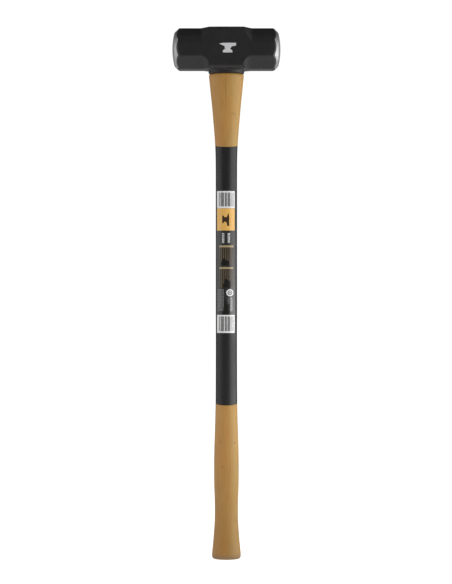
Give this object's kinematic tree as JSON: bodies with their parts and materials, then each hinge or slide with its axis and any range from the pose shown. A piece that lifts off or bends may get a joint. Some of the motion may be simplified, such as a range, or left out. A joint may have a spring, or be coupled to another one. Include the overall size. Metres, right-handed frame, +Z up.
{
  "type": "sledgehammer",
  "caption": "Long-handled double-faced sledgehammer: octagonal painted steel head with bare crowned faces on a flared wooden handle with a black mid-length sleeve and a label.",
  "frame": {"origin": "centre of the butt end of the handle, which is the lowest point", "axes": "+Z up the handle to the head, +X along the head from one striking face to the other, -Y the side that carries the label"},
  "size_m": [0.1866, 0.0712, 0.9144],
  "materials": {
    "head_paint": "semi-gloss black paint, bare ground steel on both striking faces and their bevels",
    "hickory": "clear satin lacquer over straight-grained hickory",
    "wedge_wood": "raw end grain",
    "wedge_steel": "mill finish",
    "black_film": "satin",
    "label_film": "gloss printed film",
    "white_print": "white print, on the label and on the cheek",
    "colour_print": "yellow and brown print on the label"
  },
  "bodies": {
    "root": {"head": "head_paint", "handle": "hickory", "wood_wedge": "wedge_wood", "steel_wedge_left": "wedge_steel", "steel_wedge_right": "wedge_steel", "grip_sleeve": "black_film", "label": "label_film"}
  },
  "joints": []
}
